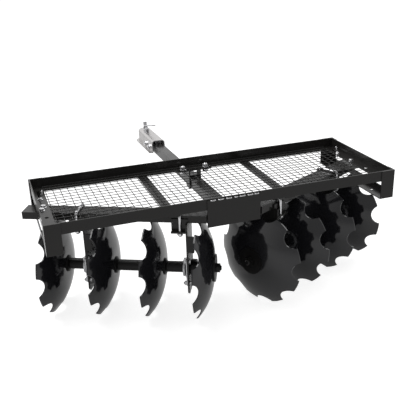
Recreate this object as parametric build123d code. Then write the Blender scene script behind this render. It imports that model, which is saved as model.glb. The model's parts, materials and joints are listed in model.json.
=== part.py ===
from build123d import *
import math
import os

# Towed disc harrow for a small tractor or quad. Millimetres, +Y towards the hitch, +Z up.
# The ground is at z = 0 and the harrow stands on its discs.

# Frame
frame_width = 1219.0
frame_depth = 437.0
frame_height = 103.5
rail_leg = 38.0
rail_thickness = 3.2
end_flange_width = 43.0
setting_slot_length = 80.0
setting_slot_width = 11.0
setting_slot_place = 155.0
pin_hole_diameter = 14.0
pin_hole_place = -75.0
foot_flange_width = 51.0
foot_hole_diameter = 13.0
foot_hole_place = -128.0
foot_thickness = 3.0
post_face_width = 51.0
post_side_width = 38.0
plate_thickness = 3.0
centre_plate_width = 186.0
centre_plate_height = 95.0
centre_plate_drop = 4.0
centre_shelf_depth = 98.0

# Weight tray
mesh_pitch = 25.4
mesh_wire = 2.6
mesh_margin = 4.0
strap_width = 34.0
strap_thickness = 4.0
strap_spacing = 408.0

# Gangs: each is an angled row of discs on one axle, below its own beam
gang_angle = 26.8
beam_width = 63.5
beam_height = 25.4
beam_wall = 3.2
beam_drop = 82.0
beam_line_setback = 233.0
beam_overhang = 43.0
beam_end_gap = 5.0
disc_top_gap = 5.5
disc_diameter = 343.0
disc_thickness = 3.2
disc_dish = 50.5
disc_flat_radius = 30.0
seat_gap = 0.05
disc_spacing = 169.5
first_disc_distance = 129.0
running_gap = 5.0
discs_per_gang = 4
axle_square = 22.0
spacer_diameter = 38.0
hub_diameter = 58.0
hub_length = 9.0
hub_taper = 5.0
cap_diameter = 95.0
cap_thickness = 5.0
axle_nut_length = 14.0
axle_nut_width = 30.0
axle_end_length = 18.0

# Disc edge, and how far each disc's tooth is turned forward of straight down, from the inner disc out
notch_count = 9
tooth_tip_angle = 17.0
notch_depth = 24.0
tooth_turns = {-1: (13.5, 6.3, 6.1, 13.1), 1: (12.7, -6.0, 12.7, -0.5)}

# Hangers and bearings that carry each axle
hanger_width = 100.0
hanger_thickness = 6.0
hanger_below_axle = 80.0
hanger_leg = 26.0
hanger_leg_start = 78.0
hanger_leg_end = 135.0
hanger_corner = 10.0
barrel_length = 6.0
bearing_diameter = 64.0
bearing_dome = 88.0
bearing_dome_height = 9.0
bearing_flange = 104.0
bearing_flange_radius = 18.0
bearing_flange_thickness = 3.0
bearing_clearance = 0.06
barrel_gap = 0.3
collar_diameter = 57.0
collar_length = 18.0
collar_gap = 2.0
inner_hanger_distance = 158.0
outer_hanger_distance = 502.0

# Saddle under the beam at each hanger, and the U-bolt that clamps it
saddle_length = 48.0
saddle_plate = 5.0
saddle_above = 15.0
saddle_below = 30.0
saddle_foot_width = 104.0
u_bolt_distance = 22.0
u_bolt_diameter = 10.0
u_bolt_gap = 0.5
u_bolt_end = 9.0

# Drawbar and coupler
tongue_size = 38.0
tongue_wall = 3.0
tongue_drop = 60.0
tongue_slope = 1.45
coupler_reach = 905.0
coupler_length = 270.0
coupler_height = 57.0
coupler_above = 18.0
coupler_wall = 3.5
coupler_flange = 13.0
coupler_flange_setback = 8.0
coupler_round = 12.0
coupler_bolt_diameter = 12.7
coupler_bolt_first = 45.0
coupler_bolt_spacing = 60.0
coupler_bolt_head_width = 19.0
coupler_bolt_head_height = 7.6
tongue_in_coupler = 135.0
ball_diameter = 50.8
ball_clearance = 0.3
latch_width = 16.0
latch_thickness = 4.0
latch_height = 36.0
latch_handle_start = 20.0
latch_boss_diameter = 19.2
latch_boss_height = 6.0
latch_handle_length = 160.0
latch_handle_rise = 34.0
hitch_clamp_length = 37.0
hitch_clamp_plate = 5.0
hitch_clamp_ear = 43.0

# Levels and lines worked out from the sizes above
disc_radius = disc_diameter / 2
axle_height = disc_radius
axle_drop = beam_drop + disc_radius + disc_top_gap
frame_top = axle_height + axle_drop
frame_bottom = frame_top - frame_height
rail_bottom = frame_top - rail_leg
half_width = frame_width / 2
half_depth = frame_depth / 2
beam_bottom = frame_top - beam_drop
beam_top = beam_bottom + beam_height
tongue_top = frame_top - tongue_drop
cos_g = math.cos(math.radians(gang_angle))
sin_g = math.sin(math.radians(gang_angle))


def block(x0, x1, y0, y1, z0, z1):
    """A box between two corners, given in any order."""
    size = Box(abs(x1 - x0), abs(y1 - y0), abs(z1 - z0))
    return Pos((x0 + x1) / 2, (y0 + y1) / 2, (z0 + z1) / 2) * size


def gang_place(side):
    """The axle line's own frame: X runs outward along the axle and Z is up."""
    heading = gang_angle if side > 0 else 180 - gang_angle
    return Pos(0, -beam_line_setback, 0) * Rot(0, 0, heading)


def gang_block(side, u0, u1, v0, v1, z0, z1):
    """A box in the axle line's frame, v being forward of the axle."""
    return gang_place(side) * block(u0, u1, side * v0, side * v1, z0, z1)


def gang_rod(side, u0, u1, radius, height=axle_height):
    """A round bar along the axle line."""
    rod = Pos((u0 + u1) / 2, 0, height) * Rot(0, 90, 0) * Cylinder(radius, u1 - u0)
    return gang_place(side) * rod


def tongue_place():
    """The drawbar's own frame: origin on its top at the rear, Y along it and Z square to it."""
    return Pos(0, -half_depth + plate_thickness, tongue_top) * Rot(-tongue_slope, 0, 0)


def rail(side):
    """Rear or front rail, an angle with its upright leg outside and its flange under the tray."""
    face = side * (half_depth - plate_thickness)
    inner = half_width - plate_thickness
    upright = block(-inner, inner, face, face - side * rail_thickness, rail_bottom, frame_top)
    flange = block(-inner, inner, face, face - side * rail_leg, rail_bottom, rail_bottom + rail_thickness)
    return upright + flange


def end_top(side):
    """Top angle of an end: its flange, level with the rails', has the slot and holes that set the gang."""
    face = side * (half_width - plate_thickness)
    flange_top = rail_bottom + rail_thickness
    upright_depth = half_depth - plate_thickness - rail_thickness
    flange_depth = half_depth - plate_thickness - rail_leg
    upright = block(face, face - side * rail_thickness, -upright_depth, upright_depth, flange_top, frame_top)
    flange = block(face, face - side * end_flange_width, -flange_depth, flange_depth, rail_bottom, flange_top)
    hole_line = face - side * (rail_thickness + end_flange_width) / 2
    slot = SlotOverall(setting_slot_length, setting_slot_width, rotation=90)
    cut = Pos(hole_line, setting_slot_place, rail_bottom) * extrude(slot, amount=rail_thickness)
    hole = Pos(hole_line, pin_hole_place, rail_bottom) * Cylinder(pin_hole_diameter / 2, rail_leg)
    return upright + flange - cut - hole


def end_foot(side):
    """Bottom angle of an end: its upright leg carries the outer end of the gang beam."""
    face = side * (half_width - plate_thickness)
    depth = half_depth - plate_thickness
    upright = block(face, face - side * foot_thickness, -depth, depth, frame_bottom, beam_bottom)
    flange = block(face, face - side * foot_flange_width, -depth, depth,
                   frame_bottom, frame_bottom + foot_thickness)
    outer_disc = first_disc_distance + (discs_per_gang - 1) * disc_spacing
    middle = outer_disc * sin_g - beam_line_setback
    sweep = math.sqrt(disc_radius ** 2 - (frame_bottom - axle_height - running_gap) ** 2) * cos_g
    window = block(face - side * foot_thickness, 0, middle - sweep - running_gap,
                   middle + sweep + running_gap, frame_bottom, beam_bottom)
    hole = Pos(face - side * foot_flange_width / 2, foot_hole_place, frame_bottom)
    return upright + (flange - window) - hole * Cylinder(foot_hole_diameter / 2, rail_leg)


def post(side, end):
    """Corner post, an angle wrapped round the outside of the rails."""
    x = side * half_width
    y = end * half_depth
    face = block(x, x - side * post_face_width, y, y - end * plate_thickness, frame_bottom, frame_top)
    flank = block(x, x - side * plate_thickness, y, y - end * post_side_width, frame_bottom, frame_top)
    return face + flank


def centre_plate():
    """Plate behind the rear rail, with the shelf that carries the inner ends of both beams."""
    half = centre_plate_width / 2
    plate = block(-half, half, -half_depth, -half_depth + plate_thickness,
                  frame_top - centre_plate_drop - centre_plate_height, frame_top - centre_plate_drop)
    shelf = block(-half, half, -half_depth + plate_thickness, -half_depth + centre_shelf_depth,
                  beam_bottom - plate_thickness, beam_bottom)
    slot = block(-tongue_size / 2, tongue_size / 2, -half_depth + plate_thickness, half_depth,
                 frame_bottom, frame_top)
    return plate + (shelf - slot)


def mesh_wires(along):
    """The tray's welded wires that run one way."""
    x_end = half_width - plate_thickness - rail_leg - mesh_margin
    y_end = half_depth - plate_thickness - rail_thickness - mesh_margin
    level = rail_bottom + rail_thickness
    wires = Part()
    if along:
        count = int(2 * y_end / mesh_pitch)
        for i in range(count + 1):
            y = (i - count / 2) * mesh_pitch
            wires += block(-x_end, x_end, y - mesh_wire / 2, y + mesh_wire / 2,
                           level + mesh_wire, level + 2 * mesh_wire)
    else:
        count = int(2 * x_end / mesh_pitch)
        for i in range(count + 1):
            x = (i - count / 2) * mesh_pitch
            wires += block(x - mesh_wire / 2, x + mesh_wire / 2, -y_end, y_end, level, level + mesh_wire)
    return wires


def strap(side):
    """Flat strap across the tray, under the rails' flanges."""
    x = side * strap_spacing / 2
    depth = half_depth - plate_thickness
    return block(x - strap_width / 2, x + strap_width / 2, -depth, depth,
                 rail_bottom - strap_thickness, rail_bottom)


def beam(side):
    """Gang beam, a flat tube from the centre shelf out through the end of the frame."""
    rear = -beam_width / 2
    front = beam_width / 2
    inner = (centre_plate_width / 2 + beam_end_gap + rear * sin_g) / cos_g
    outer = (half_width + beam_overhang + rear * sin_g) / cos_g
    shell = gang_block(side, inner, outer, rear, front, beam_bottom, beam_top)
    bore = gang_block(side, inner - 1, outer + 1, rear + beam_wall, front - beam_wall,
                      beam_bottom + beam_wall, beam_top - beam_wall)
    return shell - bore


def hanger_plate():
    """Side view of a hanger: a plate with cut lower corners, drawn across (X) and up (Y) from the axle."""
    half = hanger_width / 2
    foot = -hanger_below_axle
    top = beam_bottom - axle_height
    outline = Polyline((-half, top), (-half, foot + hanger_corner), (-half + hanger_corner, foot),
                       (half - hanger_corner, foot), (half, foot + hanger_corner), (half, top), close=True)
    return make_face(outline)


def hanger(side, distance):
    """Angle-iron hanger for a bearing, with the saddle that hugs the beam beside it."""
    start = distance - hanger_thickness / 2
    stop = distance + hanger_thickness / 2
    sheet = extrude(Plane.YZ * hanger_plate(), amount=hanger_thickness)
    plate = gang_place(side) * Pos(start, 0, axle_height) * sheet
    rear = -hanger_width / 2
    leg = gang_block(side, stop - hanger_leg, stop, rear, rear + hanger_thickness,
                     axle_height + hanger_leg_start, axle_height + hanger_leg_end)
    half = beam_width / 2
    far = stop + saddle_length
    saddle = gang_block(side, start, far, -half, half, beam_bottom - saddle_plate, beam_bottom)
    saddle += gang_block(side, start, far, -saddle_foot_width / 2, saddle_foot_width / 2,
                         beam_bottom - saddle_below, beam_bottom - saddle_below + saddle_plate)
    for v in (-half, half):
        lip = v + math.copysign(saddle_plate, v)
        saddle += gang_block(side, start, far, v, lip, beam_bottom - saddle_below, beam_bottom + saddle_above)
    bore = gang_rod(side, distance - hanger_thickness, distance + hanger_thickness, bearing_diameter / 2)
    return plate + leg + saddle - bore - u_bolt(side, distance)


def u_bolt(side, distance):
    """U-bolt over the beam, its legs down through the saddle's foot."""
    radius = u_bolt_diameter / 2
    leg = beam_width / 2 + saddle_plate + u_bolt_gap + radius
    top = beam_top + radius
    foot = beam_bottom - saddle_below - u_bolt_end
    u = distance + u_bolt_distance
    path = FilletPolyline((0, -leg, foot), (0, -leg, top), (0, leg, top), (0, leg, foot),
                          radius=u_bolt_diameter)
    rod = sweep(Plane(origin=(0, -leg, foot), z_dir=(0, 0, 1)) * Circle(radius), path=path)
    return gang_place(side) * Pos(u, 0, 0) * rod


def bearing(side, distance):
    """Pressed flange bearing: a domed square flange on the hanger's outer face, its barrel in the hanger."""
    seat = distance + hanger_thickness / 2
    sheet = extrude(RectangleRounded(bearing_flange, bearing_flange, bearing_flange_radius),
                    amount=bearing_flange_thickness)
    dome = Pos(0, 0, bearing_flange_thickness + bearing_dome_height / 2)
    dome = dome * Cone(bearing_dome / 2, bearing_diameter / 2, bearing_dome_height)
    flange = gang_place(side) * Pos(seat, 0, axle_height) * Rot(0, 90, 0) * (sheet + dome)
    end = seat + bearing_flange_thickness + bearing_dome_height + barrel_length
    barrel = gang_rod(side, distance - hanger_thickness / 2, end, bearing_diameter / 2 - barrel_gap)
    bore = gang_rod(side, distance - hanger_thickness, end, spacer_diameter / 2 + bearing_clearance)
    return flange + barrel - bore


def disc_outline():
    """The notched edge of a disc, its first tooth on the X axis."""
    tip = math.radians(tooth_tip_angle / 2)
    step = 2 * math.pi / notch_count
    parts = []

    def at(radius, angle):
        return (radius * math.cos(angle), radius * math.sin(angle))

    for i in range(notch_count):
        middle = i * step
        stop = at(disc_radius, middle + tip)
        landing = at(disc_radius, middle + step - tip)
        parts.append(ThreePointArc(at(disc_radius, middle - tip), at(disc_radius, middle), stop))
        parts.append(ThreePointArc(stop, at(disc_radius - notch_depth, middle + step / 2), landing))
    return make_face(Wire(parts))


def disc(side, index):
    """One notched, dished disc with its hollow side facing outward."""
    rim = first_disc_distance + index * disc_spacing
    run = disc_radius - disc_flat_radius
    curve = (run ** 2 + disc_dish ** 2) / (2 * disc_dish)
    turn = math.asin(run / curve)
    reach = turn + 2 * disc_thickness / curve

    def along(angle, radius):
        return (disc_flat_radius + radius * math.sin(angle), 0, curve - radius * math.cos(angle))

    outer = curve + disc_thickness
    profile = Wire([
        Line((0, 0, 0), along(0, curve)),
        ThreePointArc(along(0, curve), along(reach / 2, curve), along(reach, curve)),
        Line(along(reach, curve), along(reach, outer)),
        ThreePointArc(along(reach, outer), along(reach / 2, outer), along(0, outer)),
        Line(along(0, outer), (0, 0, -disc_thickness)),
        Line((0, 0, -disc_thickness), (0, 0, 0)),
    ])
    dish = revolve(make_face(profile), Axis.Z)
    dish = dish & Pos(0, 0, -disc_thickness) * extrude(disc_outline(), amount=disc_dish + 3 * disc_thickness)
    eye = axle_square + 2 * seat_gap
    upright = Rot(side * tooth_turns[side][index], 0, 0) * Rot(0, 90, 0) * dish
    upright = upright - Box(4 * disc_thickness, eye, eye)
    return gang_place(side) * Pos(rim - disc_dish, 0, axle_height) * upright


def axle(side):
    """Square axle with its tube spacers, hub washers and the collars beside its bearings."""
    first = first_disc_distance - disc_dish
    last = first + (discs_per_gang - 1) * disc_spacing
    half = axle_square / 2
    bar = gang_block(side, first - disc_thickness, last + axle_end_length, -half, half,
                     axle_height - half, axle_height + half)
    for index in range(1, discs_per_gang):
        back = first + index * disc_spacing - disc_thickness
        bar += gang_rod(side, back + disc_thickness - disc_spacing, back, spacer_diameter / 2)
        bar += gang_rod(side, back - hub_length + hub_taper, back, hub_diameter / 2)
        cone = Cone(hub_diameter / 2, spacer_diameter / 2, hub_taper)
        bar += gang_place(side) * Pos(back - hub_length + hub_taper / 2, 0, axle_height) * Rot(0, -90, 0) * cone
    for distance in (inner_hanger_distance, outer_hanger_distance):
        face = distance - hanger_thickness / 2 - collar_gap
        bar += gang_rod(side, face - collar_length, face, collar_diameter / 2)
    washer = gang_rod(side, last, last + cap_thickness, spacer_diameter / 2)
    return bar + washer + axle_nut(side, last + cap_thickness)


def axle_nut(side, start):
    """Hexagonal nut on the axle line."""
    nut = extrude(RegularPolygon(axle_nut_width / 2, 6, major_radius=False), amount=axle_nut_length)
    return gang_place(side) * Pos(start, 0, axle_height) * Rot(0, 90, 0) * nut


def cap(side):
    """Round bumper washer and nut at the inner end of an axle, against the first disc's back."""
    start = first_disc_distance - disc_dish - disc_thickness
    plate = gang_rod(side, start - cap_thickness, start, cap_diameter / 2)
    return plate + axle_nut(side, start - cap_thickness - axle_nut_length)


def tongue():
    """Square drawbar tube, from the centre plate down a slight slope to inside the coupler."""
    half = tongue_size / 2
    start = -tongue_size
    stop = coupler_reach + tongue_in_coupler
    tube = block(-half, half, start, stop, -tongue_size, 0)
    bore = block(-half + tongue_wall, half - tongue_wall, start, stop, -tongue_size + tongue_wall, -tongue_wall)
    bar = tongue_place() * (tube - bore)
    behind = block(-tongue_size, tongue_size, -half_depth - 2 * tongue_size, -half_depth + plate_thickness,
                   frame_bottom - tongue_size, frame_top)
    return bar - behind - coupler_bolts()


def hitch_clamp():
    """Strap round the drawbar, hung by its ears from the front rail's flange."""
    half = tongue_size / 2
    outer = half + hitch_clamp_plate
    start = half_depth - plate_thickness - hitch_clamp_length
    stop = start + hitch_clamp_length
    low = tongue_top - 2 * (half_depth - plate_thickness) * math.tan(math.radians(tongue_slope))
    strap_round = block(-outer, outer, start, stop, low - tongue_size - hitch_clamp_plate, rail_bottom)
    hollow = block(-half, half, start, stop, low - tongue_size, rail_bottom - hitch_clamp_plate)
    packer = block(-half, half, start, stop, low, low + 2 * hitch_clamp_plate)
    ears = block(-outer - hitch_clamp_ear, outer + hitch_clamp_ear, start, stop,
                 rail_bottom - hitch_clamp_plate, rail_bottom)
    bar = tongue_place() * block(-half, half, 0, coupler_reach, -tongue_size, 0)
    return strap_round - hollow + packer + ears - bar


def coupler_outline(half, start):
    """The coupler from above: straight sides with a round nose."""
    nose = coupler_reach + coupler_length - ball_diameter / 2 - ball_clearance - coupler_wall
    path = Wire([
        Line((half, start), (half, nose)),
        ThreePointArc((half, nose), (0, nose + half), (-half, nose)),
        Line((-half, nose), (-half, start)),
        Line((-half, start), (half, start)),
    ])
    return make_face(path)


def shell_block(half, start, height, top, rounding):
    """The coupler's outline as a body whose top edges are rounded, apart from the open rear end."""
    body = Pos(0, 0, top - height) * extrude(coupler_outline(half, start), amount=height)
    rim = body.faces().sort_by(Axis.Z)[-1].edges().sort_by(Axis.Y)[1:]
    return fillet(rim, rounding)


def coupler():
    """Pressed ball coupler, round-nosed and open below, over the end of the drawbar."""
    socket = ball_diameter / 2 + ball_clearance
    half = socket + coupler_wall
    top = coupler_above
    body = shell_block(half, coupler_reach, coupler_height, top, coupler_round)
    skirt = coupler_outline(half + coupler_flange, coupler_reach + coupler_flange_setback)
    body += Pos(0, 0, top - coupler_height) * extrude(skirt, amount=coupler_wall)
    inside = shell_block(socket, coupler_reach - coupler_wall, coupler_height, top - coupler_wall,
                         coupler_round - coupler_wall)
    return tongue_place() * (body - inside) - coupler_bolts()


def coupler_bolts():
    """The two cross bolts, with head and nut, that hold the coupler on the drawbar."""
    half = ball_diameter / 2 + ball_clearance + coupler_wall
    bolts = Part()
    for index in range(2):
        y = coupler_reach + coupler_bolt_first + index * coupler_bolt_spacing
        place = Pos(0, y, -tongue_size / 2) * Rot(0, 90, 0)
        bolts += place * Cylinder(coupler_bolt_diameter / 2, 2 * half)
        for way in (-1, 1):
            head = extrude(RegularPolygon(coupler_bolt_head_width / 2, 6, major_radius=False),
                           amount=way * coupler_bolt_head_height)
            bolts += place * Pos(0, 0, way * half) * head
    return tongue_place() * bolts


def coupler_latch():
    """Latch post and its rearward handle, one bent strap on top of the coupler."""
    top = coupler_above
    nose = coupler_reach + coupler_length - ball_diameter
    knee = nose - latch_handle_length
    handle = Polyline((nose, top), (nose, top + latch_handle_start),
                      (knee, top + latch_handle_start + latch_handle_rise))
    post_line = Polyline((nose, top), (nose + latch_thickness, top + latch_height))
    side_view = trace(handle, line_width=latch_thickness) + trace(post_line, line_width=latch_thickness)
    strip = extrude(Plane.YZ * side_view, amount=latch_width / 2, both=True)
    boss = Pos(0, nose, top + latch_boss_height / 2) * Cylinder(latch_boss_diameter / 2, latch_boss_height)
    above = block(-tongue_size, tongue_size, 0, 2 * coupler_reach, top, top + 4 * latch_height)
    return tongue_place() * ((strip + boss) & above)


pieces = {
    "rear_rail": rail(-1),
    "front_rail": rail(1),
    "centre_plate": centre_plate(),
    "mesh_long_wires": mesh_wires(True),
    "mesh_cross_wires": mesh_wires(False),
    "drawbar": tongue(),
    "hitch_clamp": hitch_clamp(),
    "coupler_body": coupler(),
    "coupler_bolts": coupler_bolts(),
    "coupler_latch": coupler_latch(),
}
for side, name in ((-1, "left"), (1, "right")):
    pieces[f"end_top_{name}"] = end_top(side)
    pieces[f"end_foot_{name}"] = end_foot(side)
    pieces[f"post_rear_{name}"] = post(side, -1)
    pieces[f"post_front_{name}"] = post(side, 1)
    pieces[f"tray_strap_{name}"] = strap(side)
    pieces[f"gang_beam_{name}"] = beam(side)
    for place, distance in (("inner", inner_hanger_distance), ("outer", outer_hanger_distance)):
        pieces[f"hanger_{name}_{place}"] = hanger(side, distance)
        pieces[f"bearing_{name}_{place}"] = bearing(side, distance)
    pieces[f"u_bolts_{name}"] = u_bolt(side, inner_hanger_distance) + u_bolt(side, outer_hanger_distance)
    pieces[f"axle_{name}"] = axle(side)
    pieces[f"axle_cap_{name}"] = cap(side)
    for index in range(discs_per_gang):
        pieces[f"disc_{name}_{index + 1}"] = disc(side, index)

# The origin lies on the ground, below the middle of the whole machine
extent = Compound(children=[Part() + shape for shape in pieces.values()]).bounding_box()
middle = (extent.min.Y + extent.max.Y) / 2

os.makedirs("parts", exist_ok=True)
for name, shape in pieces.items():
    export_step(Pos(0, -middle, 0) * shape, f"parts/{name}.step")
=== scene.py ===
import json
import math
import random

import bmesh
import bpy
from mathutils import Matrix, Vector


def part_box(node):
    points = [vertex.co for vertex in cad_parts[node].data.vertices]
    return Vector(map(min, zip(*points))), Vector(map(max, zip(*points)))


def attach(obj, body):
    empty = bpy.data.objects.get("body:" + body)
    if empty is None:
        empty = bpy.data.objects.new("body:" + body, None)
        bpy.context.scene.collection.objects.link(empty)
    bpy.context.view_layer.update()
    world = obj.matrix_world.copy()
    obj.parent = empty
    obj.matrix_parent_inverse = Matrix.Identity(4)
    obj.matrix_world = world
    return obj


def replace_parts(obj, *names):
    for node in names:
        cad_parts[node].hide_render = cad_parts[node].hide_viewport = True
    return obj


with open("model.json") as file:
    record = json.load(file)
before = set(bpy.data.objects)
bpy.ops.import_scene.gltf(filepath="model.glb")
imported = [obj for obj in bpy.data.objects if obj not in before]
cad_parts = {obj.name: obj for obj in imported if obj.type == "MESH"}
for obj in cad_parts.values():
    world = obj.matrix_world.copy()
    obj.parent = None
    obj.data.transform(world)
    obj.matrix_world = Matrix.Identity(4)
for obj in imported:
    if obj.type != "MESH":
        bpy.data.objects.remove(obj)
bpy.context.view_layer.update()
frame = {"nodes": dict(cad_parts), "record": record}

MM = 0.001
SIDES = {"left": -1, "right": 1}
REAR_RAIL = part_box("rear_rail")
FRONT_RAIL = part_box("front_rail")
FRAME_TOP = REAR_RAIL[1].z
FRAME_MIDDLE = (REAR_RAIL[0].y + FRONT_RAIL[1].y) / 2

# Camera, fitted to the frame's corners and the discs' rims in the photograph. Its place is in metres from the
# middle of the frame's top, and its angles are in degrees
CAMERA_REACH = (-0.7338, -2.05405, 0.7845)
CAMERA_YAW = 19.297
CAMERA_PITCH = 22.693
CAMERA_ROLL = -1.669
CAMERA_DEPTH = 50.0
FOCAL_PIXELS = 657.1
PHOTO_WIDTH = 416
SENSOR_WIDTH = 36.0

# Light: the surroundings as a lamp, the floor's own color, and what the floor adds where the camera or gloss
# sees it
WORLD_LIGHT = 0.55
FLOOR_COLOR = 0.5
FLOOR_SEEN = 0.8
FLOOR_MIRRORED = 0.25
FLOOR_SIZE = 60.0
FLOOR_ROUGHNESS = 0.9

# How bright gloss sees the surroundings: axis of the direction, start and end of the change, levels there
MIRROR_BEHIND = 0.45
MIRROR_ABOVE = 0.35
MIRROR_CHANGES = (("Y", -0.6, 0.2, MIRROR_BEHIND, 1.0), ("Z", 0.5, 0.85, 1.0, MIRROR_ABOVE))

# Lamps: name, place and power
LAMPS = (("key", (-1.0, 0.5, 3.0), 60.0), ("fill", (3.0, 0.5, 2.5), 30.0))
LAMP_SIZE = 2.0
LAMP_TARGET = (0, 0, 0.2)

# Noise: the range it mostly stays in, then scales, bump strength and relief (in metres) of paint and zinc
NOISE_LOW = 0.3
NOISE_HIGH = 0.7
COAT_CLOUD = 9.0
COAT_RELIEF = 0.0004
ZINC_CLOUD = 60.0
ZINC_GRAIN = 700.0
ZINC_BUMP = 0.08
ZINC_RELIEF = 0.0003

# Sizes and places in millimetres from here on: x from the middle, y from the middle of the frame, z from the
# frame's top
RAIL_FACE = 215.5
RAIL_LEG = 38.0
RAIL_THICKNESS = 3.2
FLANGE_TOP = -RAIL_LEG + RAIL_THICKNESS
POST_EDGE = 558.5
END_FACE = 606.0

# Tray wires: pitch, radius, how far crossing wires sink into each other, and the height, the number, the
# rates (radians a metre) and the phases of the waves that they sway in
MESH_PITCH = 25.4
WIRE_RADIUS = 1.3
WIRE_SINK = 0.1
WIRE_SWAY = 0.25
SWAY_WAVES = 4
SWAY_RATE = (8, 16)
SWAY_PHASE = (0, 6.28)
SWAY_SEED = 7

# Gangs: places along the axle, and levels of the beam, the axle and the U-bolts
GANG_ANGLE = math.radians(26.8)
BEAM_LINE = -233.0
AXLE_LEVEL = -259.0
BEAM_BOTTOM = -82.0
BEAM_HALF = 31.75
HANGERS = (158.0, 502.0)
HANGER_THICKNESS = 6.0
SADDLE_PLATE = 5.0
U_BOLT = 10.0
U_BOLT_PLACE = 22.0
U_BOLT_LEG = 42.25
U_BOLT_FOOT = -112.0
FLANGE_THICKNESS = 3.0
BEARING_BOLT = 8.0
BEARING_BOLT_PLACE = 40.0
FIRST_DISC = 78.5
LAST_DISC = 587.0
DISC_THICKNESS = 3.2
CAP_THICKNESS = 5.0
AXLE_NUT = 14.0
AXLE_THREAD_RADIUS = 9.5
AXLE_THREAD_SINK = 2

# Frame bolts and bent pins: the hitch clamp's, and those over the ends of the gang beams as side, x and y.
# The pin's shape is a list of points inward, forward and up
HITCH_BOLT = 12.7
HITCH_BOLT_PLACE = (45.0, 187.0)
HITCH_PLATE = 5.0
BEAM_BOLT = 9.5
BEAM_BOLTS = ((-1, 583.0, 18.0), (-1, 591.0, -8.0), (1, 576.0, 14.0))
BEAM_PINS = ((-1, 584.0, 92.0), (1, 569.0, 104.0))
PIN_SHAPE = ((0, 0, -12), (0, 0, 4), (-2, -3, 10), (2, -4, 17), (7, -4, 23), (7, -3, 29), (11, -2, 34))
PIN_RADIUS = 2.6
PIN_NUT_WIDTH = 12.0
PIN_NUT_HEIGHT = 4.0
PIN_WASHER = 1.6
PIN_WASHER_RADIUS = 9.0
PIN_STEPS = 8

# Rail fillets: radius, steps round a quarter turn, how far they sink into the angle and how far they reach
# past the posts
RAIL_FILLET = 4.0
FILLET_STEPS = 6
FILLET_SINK = 0.5
FILLET_REACH = 5.0

# Welds: radii, the places of the runs, and the gap left at their ends
POST_BEAD = 1.8
POST_BEAD_OUT = 0.6
CORNER_BEAD = 1.6
CORNER_BEAD_RUN = (36, 4)
CORNER_BEAD_LEVEL = -36
PLATE_BEAD = 2.4
PLATE_BEAD_OUT = 3.2
PLATE_BEAD_LEVEL = -6.0
PLATE_BEAD_START = -82.0
PLATE_BEAD_LAST_START = 80.0
PLATE_BEAD_END = 88.0
STITCH_LENGTH = (12, 22)
STITCH_GAP = (3, 9)
STITCH_SEED = 5
SADDLE_BEAD = 1.8
SADDLE_BEAD_RISE = 6
WELD_END_GAP = 2

# Drawbar and coupler, along the drawbar from its rear end and up from its top
DRAWBAR_TOP = -60.0
DRAWBAR_SIZE = 38.0
DRAWBAR_SLOPE = math.radians(1.45)
COUPLER_START = 905.0
COUPLER_HALF = 29.2
COUPLER_TOP = 18.0
CROSS_BOLT_FIRST = 45
CROSS_BOLT_SPACING = 60
CROSS_BOLT_WASHER = 1.8
CROSS_BOLT_WASHER_RADIUS = 13.0
CROSS_BOLT_THREAD_RADIUS = 6.3
LATCH_PIN_START = -11.0
LATCH_PIN_PLACE = 219.2
LATCH_PIN_RISE = 10
LATCH_PIN_SHAPE = ((3.4, 0), (4.0, 0.6), (4.0, 2), (3.0, 2), (3.0, 20), (4.0, 20), (4.0, 21.4), (3.4, 22))
INNER_BOLTS = ((-6.0, 8.0), (11.0, 6.5))
INNER_BOLT_PLACE = 26
INNER_NUT_WIDTH = 11.0
INNER_NUT_HEIGHT = 6.0
INNER_THREAD_RADIUS = 3.0
COUPLER_BOLT = 13.0
COUPLER_NUT_SIDE = -5
COUPLER_NUT_PLACE = 177

# Fasteners, as shares of the bolt's diameter
WASHER_RADIUS = 1.1
WASHER_THICKNESS = 0.16
HEXAGON_WIDTH = 1.6
NUT_HEIGHT = 0.82
HEAD_HEIGHT = 0.65
FACE_FOOT_RADIUS = 0.66
FACE_TOP_RADIUS = 0.62
FACE_RISE = 0.03

# How far the round face starts inside a bolt head, a washer's edge as a share of its thickness, and a
# hexagon's chamfer and smaller end as shares of its height and width
FACE_SINK = 0.2
WASHER_EDGE = 0.25
HEXAGON_CHAMFER = 0.1
HEXAGON_END = 0.93

# Threads, as shares of the bolt's radius
THREAD_PITCH = 0.3
THREAD_ROOT = 0.86
THREAD_TIP_RADIUS = 0.7
THREAD_TIP_LENGTH = 0.15

# Weld beads: spacing of the rings as a share of the radius, how steeply the ends grow from a thin tip, the
# ridge and hollow of the ripple, and the range of uneven sizes and of side steps in millimetres
BEAD_SPACING = 0.55
BEAD_LEAST_RINGS = 4
BEAD_TAPER = 4
BEAD_TIP = 0.35
BEAD_RIDGE = 0.1
BEAD_HOLLOW = -0.06
BEAD_UNEVEN = (0.92, 1.08)
BEAD_DRIFT = (-0.1, 0.1)

# Sides of the rings that round forms are made of
ROUND_SIDES = 24
SMALL_SIDES = 16
PIN_SIDES = 12
WIRE_SIDES = 8
BEAD_SIDES = 8


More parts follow.
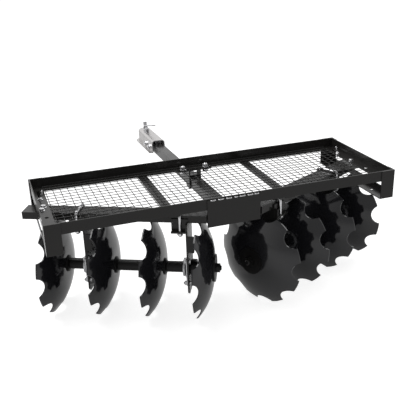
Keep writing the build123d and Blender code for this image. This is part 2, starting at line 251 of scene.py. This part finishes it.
def add_camera():
    """The photograph's viewing angle, looking down from behind and to the left."""
    yaw, pitch, roll = (math.radians(a) for a in (CAMERA_YAW, CAMERA_PITCH, CAMERA_ROLL))
    ahead = Vector((math.sin(yaw) * math.cos(pitch), math.cos(yaw) * math.cos(pitch), -math.sin(pitch)))
    level = Vector((math.cos(yaw), -math.sin(yaw), 0))
    upward = level.cross(ahead)
    right = math.cos(roll) * level + math.sin(roll) * upward
    top = -math.sin(roll) * level + math.cos(roll) * upward
    data = bpy.data.cameras.new("camera")
    data.sensor_width = SENSOR_WIDTH
    data.lens = FOCAL_PIXELS / PHOTO_WIDTH * SENSOR_WIDTH
    data.clip_end = CAMERA_DEPTH
    camera = bpy.data.objects.new("camera", data)
    turn = Matrix((right, top, -ahead)).transposed().to_4x4()
    place = Vector(CAMERA_REACH) + Vector((0, FRAME_MIDDLE, FRAME_TOP))
    camera.matrix_world = Matrix.Translation(place) @ turn
    bpy.context.scene.collection.objects.link(camera)
    bpy.context.scene.camera = camera


def node_material(name, color, roughness, metallic=0.0, specular=0.5):
    """A new principled material, returned with its tree and shader."""
    material = bpy.data.materials.new(name)
    material.use_nodes = True
    tree = material.node_tree
    shader = tree.nodes["Principled BSDF"]
    shader.inputs["Base Color"].default_value = (*color, 1)
    shader.inputs["Roughness"].default_value = roughness
    shader.inputs["Metallic"].default_value = metallic
    shader.inputs["Specular IOR Level"].default_value = specular
    return material, tree, shader


def add_noise(tree, scale, detail):
    """Object-space noise that stays on the surface."""
    place = tree.nodes.new("ShaderNodeTexCoord")
    noise = tree.nodes.new("ShaderNodeTexNoise")
    noise.inputs["Scale"].default_value = scale
    noise.inputs["Detail"].default_value = detail
    tree.links.new(place.outputs["Object"], noise.inputs["Vector"])
    return noise


def add_span(tree, source, start, end, low, high):
    """Map a value from one range to another; returns the result's socket."""
    span = tree.nodes.new("ShaderNodeMapRange")
    span.inputs["From Min"].default_value = start
    span.inputs["From Max"].default_value = end
    span.inputs["To Min"].default_value = low
    span.inputs["To Max"].default_value = high
    tree.links.new(source, span.inputs["Value"])
    return span.outputs["Result"]


def vary_color(tree, shader, noise, dark, light):
    """Mix two colors by noise."""
    mix = tree.nodes.new("ShaderNodeMix")
    mix.data_type = "RGBA"
    mix.inputs["A"].default_value = (*dark, 1)
    mix.inputs["B"].default_value = (*light, 1)
    tree.links.new(noise.outputs["Fac"], mix.inputs["Factor"])
    tree.links.new(mix.outputs["Result"], shader.inputs["Base Color"])


def vary_roughness(tree, shader, noise, rough):
    """Drive the roughness by noise, between two values."""
    result = add_span(tree, noise.outputs["Fac"], NOISE_LOW, NOISE_HIGH, *rough)
    tree.links.new(result, shader.inputs["Roughness"])


def add_bump(tree, shader, noise, strength, distance):
    """Fine relief from noise."""
    bump = tree.nodes.new("ShaderNodeBump")
    bump.inputs["Strength"].default_value = strength
    bump.inputs["Distance"].default_value = distance
    tree.links.new(noise.outputs["Fac"], bump.inputs["Height"])
    tree.links.new(bump.outputs["Normal"], shader.inputs["Normal"])


def coated_steel(name, dark, light, rough, grain, bump, specular):
    """Painted or powder-coated steel with a fine orange-peel surface."""
    material, tree, shader = node_material(name, dark, rough[0], specular=specular)
    cloud = add_noise(tree, COAT_CLOUD, detail=3.0)
    vary_color(tree, shader, cloud, dark, light)
    vary_roughness(tree, shader, cloud, rough)
    add_bump(tree, shader, add_noise(tree, grain, detail=2.0), bump, COAT_RELIEF)
    return material


def zinc_steel(name, dark, light, rough):
    """Bright zinc plate with faint clouding."""
    material, tree, shader = node_material(name, light, rough[0], metallic=1.0)
    cloud = add_noise(tree, ZINC_CLOUD, detail=4.0)
    vary_color(tree, shader, cloud, dark, light)
    vary_roughness(tree, shader, cloud, rough)
    add_bump(tree, shader, add_noise(tree, ZINC_GRAIN, detail=2.0), ZINC_BUMP, ZINC_RELIEF)
    return material


MATERIALS = {
    "frame": coated_steel("frame_coat", dark=(0.012, 0.0115, 0.011), light=(0.018, 0.017, 0.016),
                          rough=(0.18, 0.28), grain=900.0, bump=0.12, specular=0.33),
    "mesh": coated_steel("mesh_coat", dark=(0.010, 0.010, 0.010), light=(0.016, 0.0155, 0.015),
                         rough=(0.35, 0.45), grain=900.0, bump=0.1, specular=0.4),
    "disc": coated_steel("disc_paint", dark=(0.009, 0.009, 0.0105), light=(0.014, 0.014, 0.016),
                         rough=(0.07, 0.14), grain=500.0, bump=0.03, specular=0.6),
    "axle": coated_steel("axle_paint", dark=(0.006, 0.006, 0.006), light=(0.010, 0.0095, 0.009),
                         rough=(0.25, 0.35), grain=900.0, bump=0.08, specular=0.25),
    "bearing": zinc_steel("flange_zinc", dark=(0.42, 0.42, 0.43), light=(0.60, 0.60, 0.61),
                          rough=(0.22, 0.36)),
    "zinc": zinc_steel("bolt_zinc", dark=(0.60, 0.60, 0.61), light=(0.85, 0.85, 0.86), rough=(0.16, 0.28)),
    "coupler": zinc_steel("coupler_zinc", dark=(0.48, 0.47, 0.465), light=(0.72, 0.705, 0.70),
                          rough=(0.28, 0.42)),
}


def dress_nodes():
    """Give every CAD node the material of its slot."""
    slots = {row["node"]: row["material_slot"] for row in frame["record"]["subparts"]}
    for name, piece in frame["nodes"].items():
        piece.data.materials.clear()
        piece.data.materials.append(MATERIALS[slots[name]])


def spot(x, y, z):
    """A place on the frame, given in millimetres, in the shared frame's metres."""
    return Vector((x * MM, FRAME_MIDDLE + y * MM, FRAME_TOP + z * MM))


def frame_place():
    """Millimetres from the middle of the frame's top."""
    return Matrix.Translation(spot(0, 0, 0)) @ Matrix.Scale(MM, 4)


def gang_place(side):
    """Millimetres along an axle: X outward, Y square to it, origin where the two axle lines meet."""
    heading = GANG_ANGLE if side > 0 else math.pi - GANG_ANGLE
    turn = Matrix.Rotation(heading, 4, "Z")
    return Matrix.Translation(spot(0, BEAM_LINE, AXLE_LEVEL)) @ turn @ Matrix.Scale(MM, 4)


def drawbar_place():
    """Millimetres along the drawbar: origin on its top at the rear, Y along it."""
    slope = Matrix.Rotation(-DRAWBAR_SLOPE, 4, "X")
    return Matrix.Translation(spot(0, -RAIL_FACE, DRAWBAR_TOP)) @ slope @ Matrix.Scale(MM, 4)


def pointing(place, spot_mm, direction):
    """A place whose Z runs along a direction."""
    turn = Vector(direction).to_track_quat("Z", "Y").to_matrix().to_4x4()
    return place @ Matrix.Translation(spot_mm) @ turn


def add_rings(mesh, place, rings):
    """Skin a stack of rings that have equal counts, and close both ends."""
    rows = [[mesh.verts.new(place @ Vector(point)) for point in ring] for ring in rings]
    count = len(rows[0])
    for low, high in zip(rows, rows[1:]):
        for i in range(count):
            j = (i + 1) % count
            mesh.faces.new((low[i], low[j], high[j], high[i]))
    mesh.faces.new(rows[0][::-1])
    mesh.faces.new(rows[-1])


def circle(radius, height, count):
    """Points of a ring round Z."""
    step = 2 * math.pi / count
    return [(radius * math.cos(i * step), radius * math.sin(i * step), height) for i in range(count)]


def add_turned(mesh, place, profile, count=ROUND_SIDES):
    """A turned form from (radius, height) pairs."""
    add_rings(mesh, place, [circle(radius, height, count) for radius, height in profile])


def add_hexagon(mesh, place, width, start, height):
    """Hexagonal head or nut with both ends chamfered, its width across flats."""
    radius = width / math.sqrt(3)
    chamfer = HEXAGON_CHAMFER * height
    levels = ((HEXAGON_END, 0), (1, chamfer), (1, height - chamfer), (HEXAGON_END, height))
    add_rings(mesh, place, [circle(radius * scale, start + level, 6) for scale, level in levels])


def add_washer(mesh, place, radius, thickness):
    """Flat washer with a broken edge."""
    edge = WASHER_EDGE * thickness
    profile = ((radius - edge, 0.0), (radius, edge), (radius, thickness - edge), (radius - edge, thickness))
    add_turned(mesh, place, profile)


def add_thread(mesh, place, radius, start, length):
    """Threaded end of a bolt."""
    pitch = radius * THREAD_PITCH
    turns = int(length / pitch)
    profile = []
    for i in range(turns):
        level = start + i * pitch
        profile += [(radius * THREAD_ROOT, level), (radius, level + pitch / 2)]
    end = start + turns * pitch
    profile += [(radius * THREAD_ROOT, end), (radius * THREAD_TIP_RADIUS, end + radius * THREAD_TIP_LENGTH)]
    add_turned(mesh, place, profile, SMALL_SIDES)


def add_nut(mesh, place, bolt, shown):
    """Washer, nut and the bolt end that shows, along Z."""
    washer = bolt * WASHER_THICKNESS
    height = bolt * NUT_HEIGHT
    add_washer(mesh, place, bolt * WASHER_RADIUS, washer)
    add_hexagon(mesh, place, bolt * HEXAGON_WIDTH, washer, height)
    add_thread(mesh, place, bolt / 2, 0.0, washer + height + shown)


def add_head(mesh, place, bolt):
    """Washer and hexagonal bolt head with a low round face, along Z."""
    washer = bolt * WASHER_THICKNESS
    height = bolt * HEAD_HEIGHT
    add_washer(mesh, place, bolt * WASHER_RADIUS, washer)
    add_hexagon(mesh, place, bolt * HEXAGON_WIDTH, washer, height)
    top = washer + height
    foot = (bolt * FACE_FOOT_RADIUS, top - FACE_SINK)
    add_turned(mesh, place, (foot, (bolt * FACE_TOP_RADIUS, top + bolt * FACE_RISE)))


def add_bead(mesh, place, start, end, radius, seed):
    """Weld bead between two points, rippled and a little uneven."""
    chance = random.Random(seed)
    start, end = Vector(start), Vector(end)
    length = (end - start).length
    count = max(BEAD_LEAST_RINGS, int(length / (radius * BEAD_SPACING)))
    aim = pointing(place, start, end - start)
    rings = []
    for i in range(count + 1):
        share = i / count
        taper = min(1.0, BEAD_TAPER * share + BEAD_TIP, BEAD_TAPER * (1 - share) + BEAD_TIP)
        ripple = 1.0 + (BEAD_RIDGE if i % 2 else BEAD_HOLLOW)
        size = radius * taper * ripple * chance.uniform(*BEAD_UNEVEN)
        ring = circle(size, 0, BEAD_SIDES)
        rings.append([(x + chance.uniform(*BEAD_DRIFT), y, share * length) for x, y, _ in ring])
    add_rings(mesh, aim, rings)


def make_piece(name, mesh, body, slot, crease=35.0):
    """Turn a bmesh into a named piece that rides on a body and has its slot's material."""
    bmesh.ops.recalc_face_normals(mesh, faces=mesh.faces)
    data = bpy.data.meshes.new(name)
    mesh.to_mesh(data)
    mesh.free()
    for face in data.polygons:
        face.use_smooth = True
    data.set_sharp_from_angle(angle=math.radians(crease))
    piece = bpy.data.objects.new(name, data)
    bpy.context.scene.collection.objects.link(piece)
    data.materials.append(MATERIALS[slot])
    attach(piece, body)
    return piece


def sway(waves, x, y):
    """How far the tray's wires stand above or below their level at a place."""
    return sum(math.sin(a * x + b * y + c) for a, b, c in waves) * WIRE_SWAY * MM


def add_tray_wire(mesh, along, line, level, start, end, waves):
    """One round wire along X (0) or Y (1), its center on a line across the other."""
    steps = round((end - start) / (MESH_PITCH * MM))
    rings = []
    for j in range(steps + 1):
        run = start + j / steps * (end - start)
        x, y = (line, run) if along else (run, line)
        lift = level + sway(waves, x, y)
        ring = []
        for c, d, _ in circle(WIRE_RADIUS * MM, 0, WIRE_SIDES):
            ring.append((line + c, run, lift + d) if along else (run, line + c, lift + d))
        rings.append(ring)
    add_rings(mesh, Matrix.Identity(4), rings)


def weave_mesh():
    """The tray's round wires, fused where they cross, in place of the square ones."""
    chance = random.Random(SWAY_SEED)
    waves = []
    for _ in range(SWAY_WAVES):
        rates = (chance.uniform(*SWAY_RATE), chance.uniform(*SWAY_RATE))
        waves.append((*rates, chance.uniform(*SWAY_PHASE)))
    for node, along in (("mesh_long_wires", 0), ("mesh_cross_wires", 1)):
        low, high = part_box(node)
        across = 1 - along
        wire = high.z - low.z
        radius = WIRE_RADIUS * MM
        level = low.z + radius if along else low.z - wire + 3 * radius - WIRE_SINK * MM
        spread = high[across] - low[across] - wire
        count = round(spread / (MESH_PITCH * MM))
        mesh = bmesh.new()
        for i in range(count + 1):
            line = low[across] + wire / 2 + i / count * spread
            add_tray_wire(mesh, along, line, level, low[along], high[along], waves)
        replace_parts(make_piece(node.replace("wires", "round"), mesh, "root", "mesh"), node)


def add_u_bolt_nuts(name, side):
    """Nuts and thread ends below the saddles."""
    mesh = bmesh.new()
    for hanger in HANGERS:
        for v in (-U_BOLT_LEG, U_BOLT_LEG):
            foot = (hanger + U_BOLT_PLACE, v, U_BOLT_FOOT - AXLE_LEVEL)
            add_nut(mesh, pointing(gang_place(side), foot, (0, 0, -1)), U_BOLT, shown=5.0)
    make_piece(f"u_bolt_nuts_{name}", mesh, "root", "zinc")


def add_bearing_bolts(name, side):
    """Four bolts through each bearing flange and its hanger, nuts outward."""
    mesh = bmesh.new()
    for hanger in HANGERS:
        outer = hanger + HANGER_THICKNESS / 2 + FLANGE_THICKNESS
        inner = hanger - HANGER_THICKNESS / 2
        for v in (-BEARING_BOLT_PLACE, BEARING_BOLT_PLACE):
            for z in (-BEARING_BOLT_PLACE, BEARING_BOLT_PLACE):
                add_nut(mesh, pointing(gang_place(side), (outer, v, z), (1, 0, 0)), BEARING_BOLT, shown=4.0)
                add_head(mesh, pointing(gang_place(side), (inner, v, z), (-1, 0, 0)), BEARING_BOLT)
    make_piece(f"bearing_bolts_{name}", mesh, "root", "zinc")


def add_axle_ends(name, side):
    """Thread ends beyond the nuts of an axle, each starting a little inside its nut."""
    mesh = bmesh.new()
    outer = (LAST_DISC + CAP_THICKNESS + AXLE_NUT - AXLE_THREAD_SINK, 0, 0)
    outward = pointing(gang_place(side), outer, (1, 0, 0))
    add_thread(mesh, outward, AXLE_THREAD_RADIUS, start=0.0, length=9.0)
    inner = (FIRST_DISC - DISC_THICKNESS - CAP_THICKNESS - AXLE_NUT + AXLE_THREAD_SINK, 0, 0)
    inward = pointing(gang_place(side), inner, (-1, 0, 0))
    add_thread(mesh, inward, AXLE_THREAD_RADIUS, start=0.0, length=7.0)
    make_piece(f"axle_ends_{name}", mesh, f"gang_{name}", "axle")


def add_frame_bolts():
    """Bolts of the hitch clamp and the beam ends."""
    mesh = bmesh.new()
    place = frame_place()
    for side in (-1, 1):
        x, y = side * HITCH_BOLT_PLACE[0], HITCH_BOLT_PLACE[1]
        add_nut(mesh, pointing(place, (x, y, FLANGE_TOP), (0, 0, 1)), HITCH_BOLT, shown=1.5)
        add_head(mesh, pointing(place, (x, y, -RAIL_LEG - HITCH_PLATE), (0, 0, -1)), HITCH_BOLT)
    for side, x, y in BEAM_BOLTS:
        add_head(mesh, pointing(place, (side * x, y, FLANGE_TOP), (0, 0, 1)), BEAM_BOLT)
        add_nut(mesh, pointing(place, (side * x, y, -RAIL_LEG), (0, 0, -1)), BEAM_BOLT, shown=4.0)
    make_piece("frame_bolts", mesh, "root", "zinc")


def smooth_point(before, start, end, after, share):
    """A point between the middle two of four points, on the smooth curve through them."""
    straight = 2 * start + (end - before) * share
    bend = (2 * before - 5 * start + 4 * end - after) * share * share
    twist = (3 * start - before - 3 * end + after) * share * share * share
    return 0.5 * (straight + bend + twist)


def add_wire(mesh, place, points, radius):
    """Bent round wire through a few points, rounded between them."""
    points = [Vector(point) for point in points]
    last = len(points) - 1
    line = []
    for i in range(last):
        near = [points[min(max(i + k, 0), last)] for k in (-1, 0, 1, 2)]
        line += [smooth_point(*near, j / PIN_STEPS) for j in range(PIN_STEPS)]
    line.append(points[-1])
    rings = []
    for i, center in enumerate(line):
        ahead = line[min(i + 1, len(line) - 1)] - line[max(i - 1, 0)]
        turn = ahead.to_track_quat("Z", "Y").to_matrix()
        rings.append([center + turn @ Vector((x, y, 0)) for x, y, _ in circle(radius, 0, PIN_SIDES)])
    add_rings(mesh, place, rings)


def add_beam_pins():
    """Bent-wire pins that stand up through the end flanges beside the beams."""
    mesh = bmesh.new()
    for side, x, y in BEAM_PINS:
        place = frame_place() @ Matrix.Translation((side * x, y, FLANGE_TOP))
        add_wire(mesh, place, [(-side * inward, along, up) for inward, along, up in PIN_SHAPE], PIN_RADIUS)
        add_washer(mesh, place, PIN_WASHER_RADIUS, PIN_WASHER)
        add_hexagon(mesh, place, PIN_NUT_WIDTH, PIN_WASHER, PIN_NUT_HEIGHT)
    make_piece("beam_pins", mesh, "root", "zinc")


def fillet_ring(x, side):
    """Outline of a rail's inner fillet at one place along the rail."""
    corner = RAIL_FACE - RAIL_THICKNESS
    ring = [(x, side * (corner + FILLET_SINK), FLANGE_TOP - FILLET_SINK)]
    for i in range(FILLET_STEPS + 1):
        turn = math.radians(90 * i / FILLET_STEPS)
        y = side * (corner - RAIL_FILLET + RAIL_FILLET * math.sin(turn))
        ring.append((x, y, FLANGE_TOP + RAIL_FILLET - RAIL_FILLET * math.cos(turn)))
    return ring


def add_rail_fillets():
    """Rounded inner corners of the rolled rails."""
    mesh = bmesh.new()
    end = POST_EDGE + FILLET_REACH
    for side in (-1, 1):
        add_rings(mesh, frame_place(), [fillet_ring(x, side) for x in (-end, end)])
    make_piece("rail_fillets", mesh, "root", "frame")


def add_frame_welds():
    """Welds where the posts meet the rails, and along the end angles at the corners."""
    mesh = bmesh.new()
    place = frame_place()
    for side in (-1, 1):
        for end in (-1, 1):
            x, y = side * POST_EDGE, end * (RAIL_FACE + POST_BEAD_OUT)
            low, high = -RAIL_LEG + WELD_END_GAP, -WELD_END_GAP
            add_bead(mesh, place, (x, y, low), (x, y, high), POST_BEAD, seed=11)
            x, z = side * END_FACE, CORNER_BEAD_LEVEL
            start, stop = (end * RAIL_FACE - end * inward for inward in CORNER_BEAD_RUN)
            add_bead(mesh, place, (x, start, z), (x, stop, z), CORNER_BEAD, seed=12)
    make_piece("frame_welds", mesh, "root", "frame", crease=60.0)


def add_plate_welds():
    """Stitches along the top edge of the centre plate, made bright as a painted highlight for the glints on
    the black-coated welds.
    """
    mesh = bmesh.new()
    chance = random.Random(STITCH_SEED)
    y, z = -RAIL_FACE - PLATE_BEAD_OUT, PLATE_BEAD_LEVEL
    run = PLATE_BEAD_START
    while run < PLATE_BEAD_LAST_START:
        length = chance.uniform(*STITCH_LENGTH)
        stop = min(run + length, PLATE_BEAD_END)
        add_bead(mesh, frame_place(), (run, y, z), (stop, y, z), PLATE_BEAD, seed=int(run))
        run += length + chance.uniform(*STITCH_GAP)
    # The zinc slot makes these stitches bright: a painted highlight standing in for glints on black-coated
    # welds.
    make_piece("plate_welds", mesh, "root", "zinc", crease=60.0)


def add_saddle_welds(name, side):
    """Welds between each saddle and its hanger plate."""
    mesh = bmesh.new()
    low = U_BOLT_FOOT - AXLE_LEVEL + SADDLE_BEAD_RISE
    high = BEAM_BOTTOM - AXLE_LEVEL - WELD_END_GAP
    for hanger in HANGERS:
        x = hanger + HANGER_THICKNESS / 2
        for y in (-BEAM_HALF - SADDLE_PLATE, BEAM_HALF + SADDLE_PLATE):
            add_bead(mesh, gang_place(side), (x, y, low), (x, y, high), SADDLE_BEAD, seed=int(hanger))
    make_piece(f"saddle_welds_{name}", mesh, "root", "frame", crease=60.0)


def add_cross_bolt_ends(mesh, place):
    """Washers and thread ends of the two bolts across the coupler."""
    for index in range(2):
        y = COUPLER_START + CROSS_BOLT_FIRST + CROSS_BOLT_SPACING * index
        for way in (-1, 1):
            side = pointing(place, (way * COUPLER_HALF, y, -DRAWBAR_SIZE / 2), (way, 0, 0))
            add_washer(mesh, side, CROSS_BOLT_WASHER_RADIUS, CROSS_BOLT_WASHER)
            add_thread(mesh, side, CROSS_BOLT_THREAD_RADIUS, start=6.0, length=6.0)


def add_latch_pin(mesh, place):
    """Pin across the coupler's latch, a head at each end."""
    start = (LATCH_PIN_START, COUPLER_START + LATCH_PIN_PLACE, COUPLER_TOP + LATCH_PIN_RISE)
    add_turned(mesh, pointing(place, start, (1, 0, 0)), LATCH_PIN_SHAPE, SMALL_SIDES)


def add_inner_bolts(mesh, place):
    """Small nuts and thread ends that face back along the drawbar."""
    for x, level in INNER_BOLTS:
        inner = pointing(place, (x, COUPLER_START + INNER_BOLT_PLACE, level), (0, -1, 0))
        add_hexagon(mesh, inner, INNER_NUT_WIDTH, start=0.0, height=INNER_NUT_HEIGHT)
        add_thread(mesh, inner, INNER_THREAD_RADIUS, INNER_NUT_HEIGHT, length=9.0)


def add_coupler_parts():
    """The coupler's small fittings, and the larger nut on its top."""
    place = drawbar_place()
    mesh = bmesh.new()
    add_cross_bolt_ends(mesh, place)
    add_latch_pin(mesh, place)
    add_inner_bolts(mesh, place)
    make_piece("coupler_fittings", mesh, "root", "zinc")
    mesh = bmesh.new()
    foot = (COUPLER_NUT_SIDE, COUPLER_START + COUPLER_NUT_PLACE, COUPLER_TOP)
    add_nut(mesh, pointing(place, foot, (0, 0, 1)), COUPLER_BOLT, shown=7.0)
    make_piece("coupler_nut", mesh, "root", "bearing")


def add_floor():
    """Pale floor that shows as white and keeps the shadow."""
    bpy.ops.mesh.primitive_plane_add(size=FLOOR_SIZE, location=(0, 0, 0))
    floor = bpy.context.object
    floor.name = "floor"
    color = (FLOOR_COLOR,) * 3
    material, tree, shader = node_material("floor_white", color, FLOOR_ROUGHNESS, specular=0.0)
    path = tree.nodes.new("ShaderNodeLightPath")
    glow = tree.nodes.new("ShaderNodeEmission")
    levels = []
    for kind, strength in (("Is Camera Ray", FLOOR_SEEN), ("Is Glossy Ray", FLOOR_MIRRORED)):
        level = tree.nodes.new("ShaderNodeMath")
        level.operation = "MULTIPLY"
        level.inputs[1].default_value = strength
        tree.links.new(path.outputs[kind], level.inputs[0])
        levels.append(level)
    total = tree.nodes.new("ShaderNodeMath")
    both = tree.nodes.new("ShaderNodeAddShader")
    for level, socket in zip(levels, total.inputs):
        tree.links.new(level.outputs[0], socket)
    tree.links.new(total.outputs[0], glow.inputs["Strength"])
    tree.links.new(shader.outputs[0], both.inputs[0])
    tree.links.new(glow.outputs[0], both.inputs[1])
    tree.links.new(both.outputs[0], tree.nodes["Material Output"].inputs["Surface"])
    floor.data.materials.append(material)


def add_lamp(name, place, power):
    """A soft square lamp aimed at the harrow."""
    data = bpy.data.lights.new(name, "AREA")
    data.size = LAMP_SIZE
    data.energy = power
    lamp = bpy.data.objects.new(name, data)
    lamp.location = place
    aim = Vector(LAMP_TARGET) - Vector(place)
    lamp.rotation_euler = aim.to_track_quat("-Z", "Y").to_euler()
    bpy.context.scene.collection.objects.link(lamp)


def add_mirrored_level(tree):
    """How bright gloss sees the surroundings in each direction; returns the level's socket."""
    place = tree.nodes.new("ShaderNodeTexCoord")
    split = tree.nodes.new("ShaderNodeSeparateXYZ")
    tree.links.new(place.outputs["Generated"], split.inputs[0])
    gloss = tree.nodes.new("ShaderNodeMath")
    gloss.operation = "MULTIPLY"
    for socket, (axis, start, end, low, high) in zip(gloss.inputs, MIRROR_CHANGES):
        tree.links.new(add_span(tree, split.outputs[axis], start, end, low, high), socket)
    return gloss.outputs[0]


def set_world():
    """White surroundings for the camera, dimmer overhead and behind it in the gloss, over a plain light."""
    world = bpy.data.worlds.new("studio")
    world.use_nodes = True
    bpy.context.scene.world = world
    tree = world.node_tree
    path = tree.nodes.new("ShaderNodeLightPath")
    mirrored = tree.nodes.new("ShaderNodeMix")
    mirrored.inputs["A"].default_value = WORLD_LIGHT
    tree.links.new(path.outputs["Is Glossy Ray"], mirrored.inputs["Factor"])
    tree.links.new(add_mirrored_level(tree), mirrored.inputs["B"])
    seen = tree.nodes.new("ShaderNodeMix")
    seen.inputs["B"].default_value = 1.0
    tree.links.new(path.outputs["Is Camera Ray"], seen.inputs["Factor"])
    tree.links.new(mirrored.outputs["Result"], seen.inputs["A"])
    background = tree.nodes["Background"]
    background.inputs["Color"].default_value = (1, 1, 1, 1)
    tree.links.new(seen.outputs["Result"], background.inputs["Strength"])


add_camera()
dress_nodes()
weave_mesh()
for name, side in SIDES.items():
    add_u_bolt_nuts(name, side)
    add_bearing_bolts(name, side)
    add_axle_ends(name, side)
    add_saddle_welds(name, side)
add_frame_bolts()
add_beam_pins()
add_rail_fillets()
add_frame_welds()
add_plate_welds()
add_coupler_parts()
add_floor()
set_world()
for name, place, power in LAMPS:
    add_lamp(name, place, power)
bpy.context.scene.view_settings.view_transform = "Standard"
